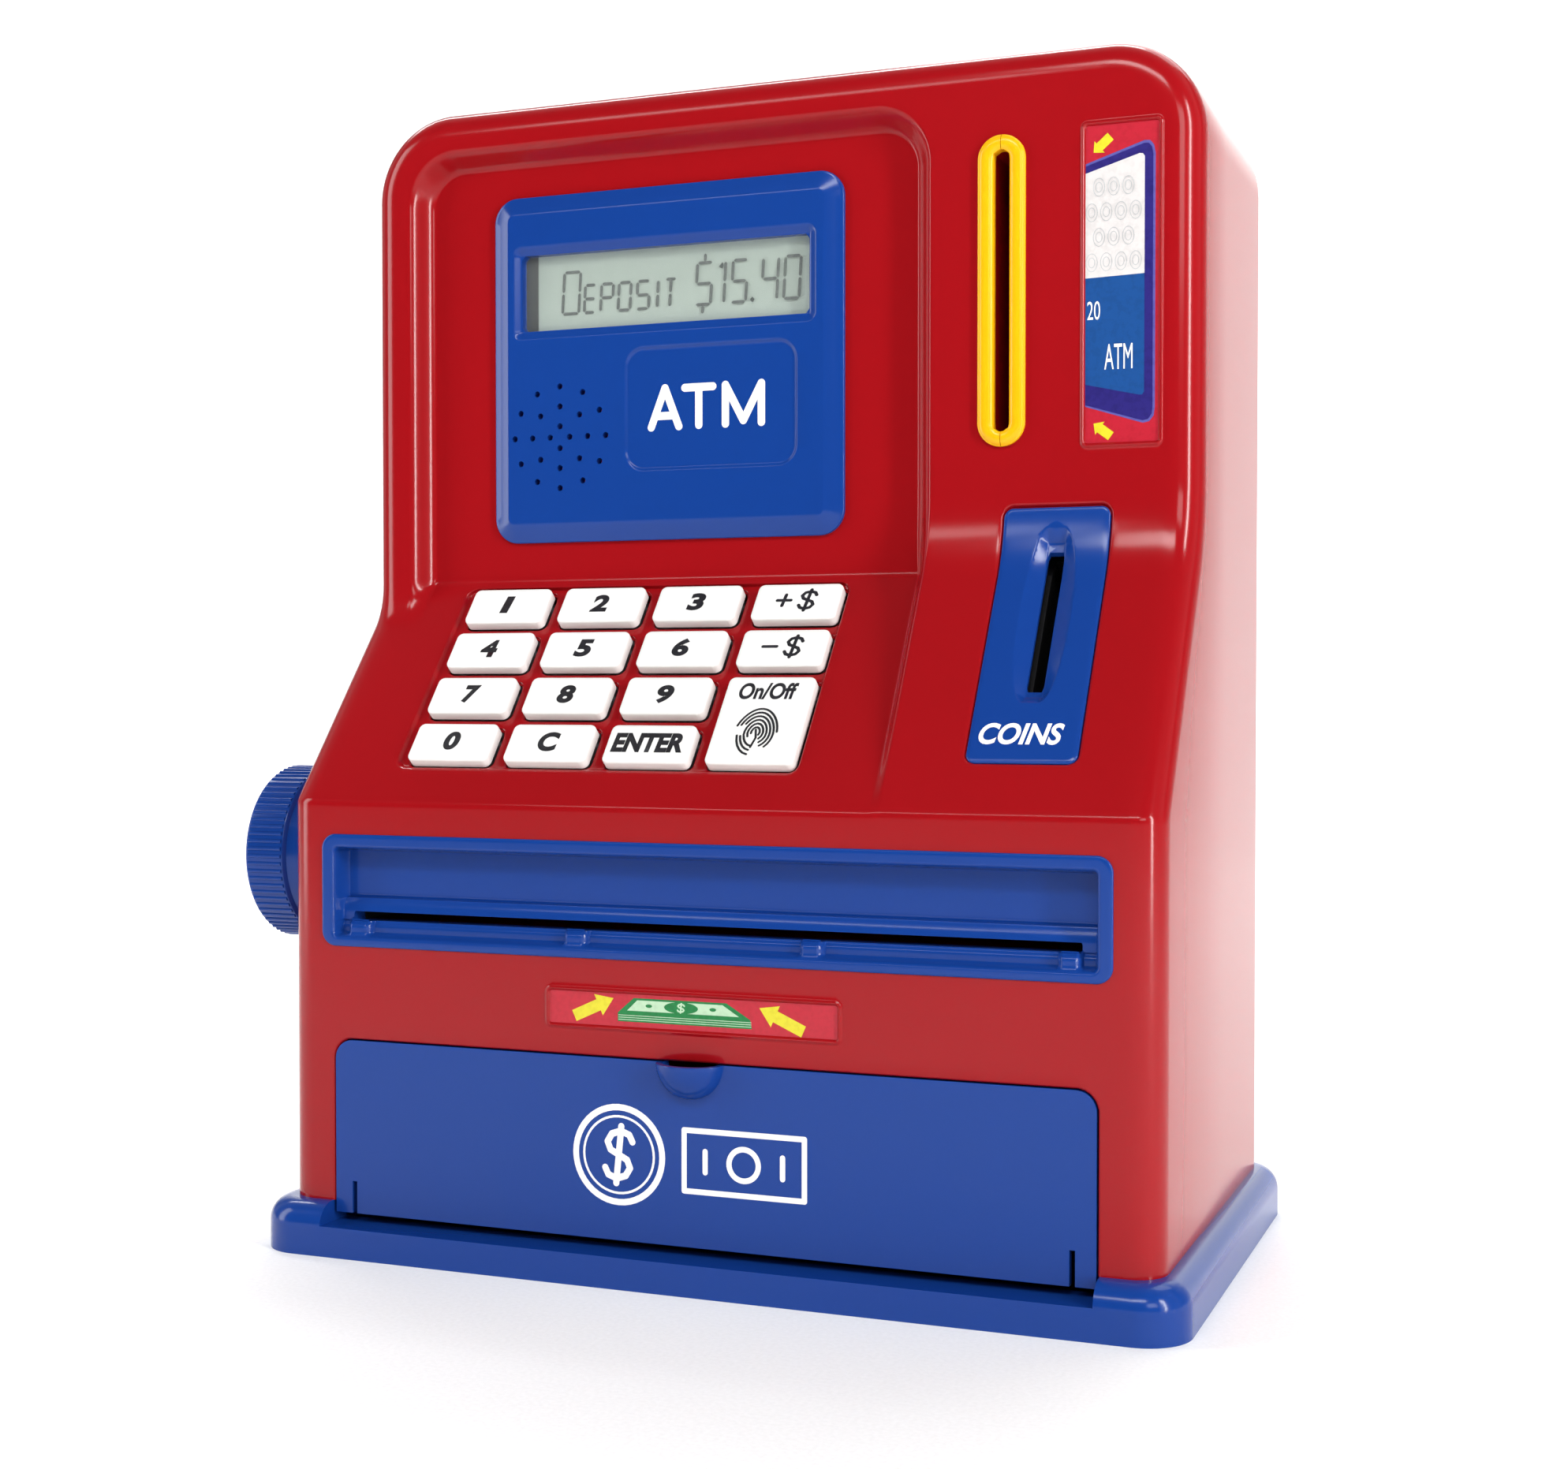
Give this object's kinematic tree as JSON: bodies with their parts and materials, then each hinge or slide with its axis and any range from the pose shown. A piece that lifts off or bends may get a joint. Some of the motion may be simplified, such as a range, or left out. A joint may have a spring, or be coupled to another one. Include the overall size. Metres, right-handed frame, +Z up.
{
  "type": "toy cash machine bank",
  "caption": "Toy cash machine money box with a keypad, display, coin slot, card slot, hand-turned note feeder and drop-down cash door.",
  "frame": {"origin": "on the surface that it stands on, at the centre of the plinth's footprint", "axes": "+X to the object's right as its front is seen, +Y to its back, +Z up; the front faces -Y"},
  "size_m": [0.2641, 0.1492, 0.3115],
  "materials": {
    "red_plastic": "moulded semi-gloss",
    "blue_plastic": "moulded semi-gloss",
    "yellow_plastic": "moulded semi-gloss",
    "white_plastic": "moulded satin",
    "clear_plastic": "polished clear",
    "display_glass": "grey display glass",
    "circuit_board": "green solder mask",
    "screw_steel": "zinc plated",
    "shaft_steel": "drawn steel",
    "contact_steel": "nickel plated",
    "speaker_black": "black painted can with a paper cone",
    "black_plastic": "moulded matt",
    "grey_rubber": "moulded silicone",
    "black_rubber": "ground rubber",
    "cell_jacket": "plain shrink sleeve",
    "printed_label": "printed sticker"
  },
  "bodies": {
    "housing": {"front_housing": "red_plastic", "rear_housing": "red_plastic", "housing_screws": "screw_steel", "base": "blue_plastic", "base_screws": "screw_steel", "display_bezel": "blue_plastic", "display_lens": "clear_plastic", "display_module": "display_glass", "main_board": "circuit_board", "board_screws": "screw_steel", "speaker": "speaker_black", "speaker_clamp": "black_plastic", "keypad_mat": "grey_rubber", "keypad_board": "circuit_board", "coin_plate": "blue_plastic", "coin_chute": "black_plastic", "coin_switch": "black_plastic", "card_guide_left": "yellow_plastic", "card_guide_right": "yellow_plastic", "card_switch": "black_plastic", "note_bezel": "blue_plastic", "note_tray": "black_plastic", "feed_bracket_left": "black_plastic", "feed_bracket_right": "black_plastic", "feed_bushes": "white_plastic", "battery_tray": "black_plastic", "batteries": "cell_jacket", "battery_contacts": "contact_steel", "card_label": "printed_label", "note_label": "printed_label"},
    "door": {"cash_door": "blue_plastic"},
    "feed": {"feed_shaft": "shaft_steel", "feed_rollers": "black_rubber", "knob": "blue_plastic", "knob_screw": "screw_steel"},
    "pinch": {"pinch_shaft_rod": "shaft_steel", "pinch_rollers": "black_rubber"},
    "coin_lever": {"coin_lever": "black_plastic"},
    "card_lever": {"card_lever": "black_plastic"},
    "battery_lid": {"battery_door": "red_plastic", "battery_screw": "screw_steel"},
    "button_0": {"key_0": "white_plastic"},
    "button_1": {"key_1": "white_plastic"},
    "button_2": {"key_2": "white_plastic"},
    "button_3": {"key_3": "white_plastic"},
    "button_4": {"key_4": "white_plastic"},
    "button_5": {"key_5": "white_plastic"},
    "button_6": {"key_6": "white_plastic"},
    "button_7": {"key_7": "white_plastic"},
    "button_8": {"key_8": "white_plastic"},
    "button_9": {"key_9": "white_plastic"},
    "button_clear": {"key_clear": "white_plastic"},
    "button_enter": {"key_enter": "white_plastic"},
    "button_minus": {"key_minus": "white_plastic"},
    "button_plus": {"key_plus": "white_plastic"},
    "button_power": {"key_power": "white_plastic"}
  },
  "joints": [
    {"name": "door_hinge", "type": "hinge", "parent": "housing", "child": "door", "pos_m": [0, -0.0632, 0.016], "axis": [1, 0, 0], "range_deg": [0, 92]},
    {"name": "knob_turn", "type": "hinge", "parent": "housing", "child": "feed", "pos_m": [0, -0.0346, 0.1036], "axis": [1, 0, 0], "continuous": true},
    {"name": "pinch_spin", "type": "hinge", "parent": "housing", "child": "pinch", "pos_m": [0, -0.0346, 0.0839], "axis": [1, 0, 0], "continuous": true},
    {"name": "coin_lever_swing", "type": "hinge", "parent": "housing", "child": "coin_lever", "pos_m": [0.087, 0.009, 0.146], "axis": [1, 0, 0], "range_deg": [0, 10], "stiffness_Nm_per_rad": 0.002, "springref_deg": -5.73},
    {"name": "card_lever_swing", "type": "hinge", "parent": "housing", "child": "card_lever", "pos_m": [0.0675, 0.026, 0.262], "axis": [1, 0, 0], "range_deg": [0, 15], "stiffness_Nm_per_rad": 0.002, "springref_deg": -5.73},
    {"name": "battery_lid_off", "type": "slide", "parent": "housing", "child": "battery_lid", "axis": [0, 1, 0], "range_m": [0, 0.025]},
    {"name": "press_0", "type": "slide", "parent": "housing", "child": "button_0", "axis": [0, 0.7723, -0.6353], "range_m": [0, 0.0015], "stiffness_N_per_m": 600, "springref_m": -0.0005},
    {"name": "press_1", "type": "slide", "parent": "housing", "child": "button_1", "axis": [0, 0.7723, -0.6353], "range_m": [0, 0.0015], "stiffness_N_per_m": 600, "springref_m": -0.0005},
    {"name": "press_2", "type": "slide", "parent": "housing", "child": "button_2", "axis": [0, 0.7723, -0.6353], "range_m": [0, 0.0015], "stiffness_N_per_m": 600, "springref_m": -0.0005},
    {"name": "press_3", "type": "slide", "parent": "housing", "child": "button_3", "axis": [0, 0.7723, -0.6353], "range_m": [0, 0.0015], "stiffness_N_per_m": 600, "springref_m": -0.0005},
    {"name": "press_4", "type": "slide", "parent": "housing", "child": "button_4", "axis": [0, 0.7723, -0.6353], "range_m": [0, 0.0015], "stiffness_N_per_m": 600, "springref_m": -0.0005},
    {"name": "press_5", "type": "slide", "parent": "housing", "child": "button_5", "axis": [0, 0.7723, -0.6353], "range_m": [0, 0.0015], "stiffness_N_per_m": 600, "springref_m": -0.0005},
    {"name": "press_6", "type": "slide", "parent": "housing", "child": "button_6", "axis": [0, 0.7723, -0.6353], "range_m": [0, 0.0015], "stiffness_N_per_m": 600, "springref_m": -0.0005},
    {"name": "press_7", "type": "slide", "parent": "housing", "child": "button_7", "axis": [0, 0.7723, -0.6353], "range_m": [0, 0.0015], "stiffness_N_per_m": 600, "springref_m": -0.0005},
    {"name": "press_8", "type": "slide", "parent": "housing", "child": "button_8", "axis": [0, 0.7723, -0.6353], "range_m": [0, 0.0015], "stiffness_N_per_m": 600, "springref_m": -0.0005},
    {"name": "press_9", "type": "slide", "parent": "housing", "child": "button_9", "axis": [0, 0.7723, -0.6353], "range_m": [0, 0.0015], "stiffness_N_per_m": 600, "springref_m": -0.0005},
    {"name": "press_clear", "type": "slide", "parent": "housing", "child": "button_clear", "axis": [0, 0.7723, -0.6353], "range_m": [0, 0.0015], "stiffness_N_per_m": 600, "springref_m": -0.0005},
    {"name": "press_enter", "type": "slide", "parent": "housing", "child": "button_enter", "axis": [0, 0.7723, -0.6353], "range_m": [0, 0.0015], "stiffness_N_per_m": 600, "springref_m": -0.0005},
    {"name": "press_minus", "type": "slide", "parent": "housing", "child": "button_minus", "axis": [0, 0.7723, -0.6353], "range_m": [0, 0.0015], "stiffness_N_per_m": 600, "springref_m": -0.0005},
    {"name": "press_plus", "type": "slide", "parent": "housing", "child": "button_plus", "axis": [0, 0.7723, -0.6353], "range_m": [0, 0.0015], "stiffness_N_per_m": 600, "springref_m": -0.0005},
    {"name": "press_power", "type": "slide", "parent": "housing", "child": "button_power", "axis": [0, 0.7723, -0.6353], "range_m": [0, 0.0015], "stiffness_N_per_m": 600, "springref_m": -0.0005}
  ],
  "couplings": [
    {"joint": "pinch_spin", "follows": "knob_turn", "ratio": -2.6923}
  ]
}
